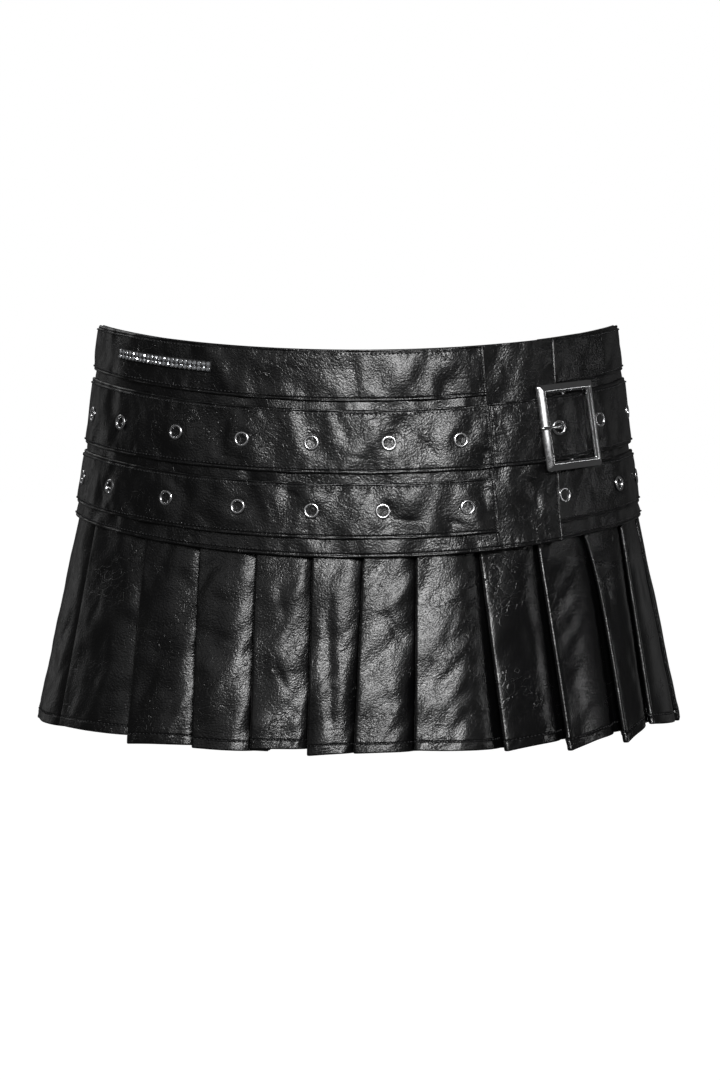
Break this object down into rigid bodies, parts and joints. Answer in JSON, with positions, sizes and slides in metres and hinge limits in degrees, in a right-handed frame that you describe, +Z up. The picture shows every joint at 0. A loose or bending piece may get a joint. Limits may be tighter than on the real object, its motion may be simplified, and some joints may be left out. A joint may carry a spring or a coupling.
{
  "type": "leather mini skirt",
  "caption": "Short worn-form skirt of glossy leather with a wrap front, eyelet belts, a bar buckle and a knife-pleated flounce, open at waist and hem.",
  "frame": {"origin": "middle of the waist opening, half-way down the waistband at the sides", "axes": "+Z up, +X towards the wearer's left hip, which is the buckle's side, and the front faces -Y"},
  "size_m": [0.3938, 0.3061, 0.2528],
  "materials": {
    "leather": "glossy, crinkled",
    "lining_side": "matt backing",
    "thread": "twisted thread",
    "steel": "polished",
    "crystal": "cut, clear on silver"
  },
  "bodies": {
    "root": {"belt_1_back": "leather", "belt_1_front": "leather", "belt_1_tongue": "leather", "belt_2_back": "leather", "belt_2_front": "leather", "buckle_frame": "steel", "buckle_prong": "steel", "crystal_trim": "crystal", "eyelet_belt_1_back_1": "steel", "eyelet_belt_1_back_10": "steel", "eyelet_belt_1_back_11": "steel", "eyelet_belt_1_back_12": "steel", "eyelet_belt_1_back_2": "steel", "eyelet_belt_1_back_3": "steel", "eyelet_belt_1_back_4": "steel", "eyelet_belt_1_back_5": "steel", "eyelet_belt_1_back_6": "steel", "eyelet_belt_1_back_7": "steel", "eyelet_belt_1_back_8": "steel", "eyelet_belt_1_back_9": "steel", "eyelet_belt_1_front_1": "steel", "eyelet_belt_1_front_2": "steel", "eyelet_belt_1_front_3": "steel", "eyelet_belt_1_front_4": "steel", "eyelet_belt_1_front_5": "steel", "eyelet_belt_1_front_6": "steel", "eyelet_belt_1_front_7": "steel", "eyelet_belt_1_tongue_1": "steel", "eyelet_belt_2_back_1": "steel", "eyelet_belt_2_back_10": "steel", "eyelet_belt_2_back_11": "steel", "eyelet_belt_2_back_12": "steel", "eyelet_belt_2_back_13": "steel", "eyelet_belt_2_back_2": "steel", "eyelet_belt_2_back_3": "steel", "eyelet_belt_2_back_4": "steel", "eyelet_belt_2_back_5": "steel", "eyelet_belt_2_back_6": "steel", "eyelet_belt_2_back_7": "steel", "eyelet_belt_2_back_8": "steel", "eyelet_belt_2_back_9": "steel", "eyelet_belt_2_front_1": "steel", "eyelet_belt_2_front_2": "steel", "eyelet_belt_2_front_3": "steel", "eyelet_belt_2_front_4": "steel", "eyelet_belt_2_front_5": "steel", "eyelet_belt_2_front_6": "steel", "eyelet_belt_2_front_7": "steel", "placket_panel": "leather", "pleats_back": "leather", "pleats_front": "leather", "waistband_back": "leather", "waistband_front": "leather", "yoke_back": "leather", "yoke_front": "leather"}
  },
  "joints": []
}
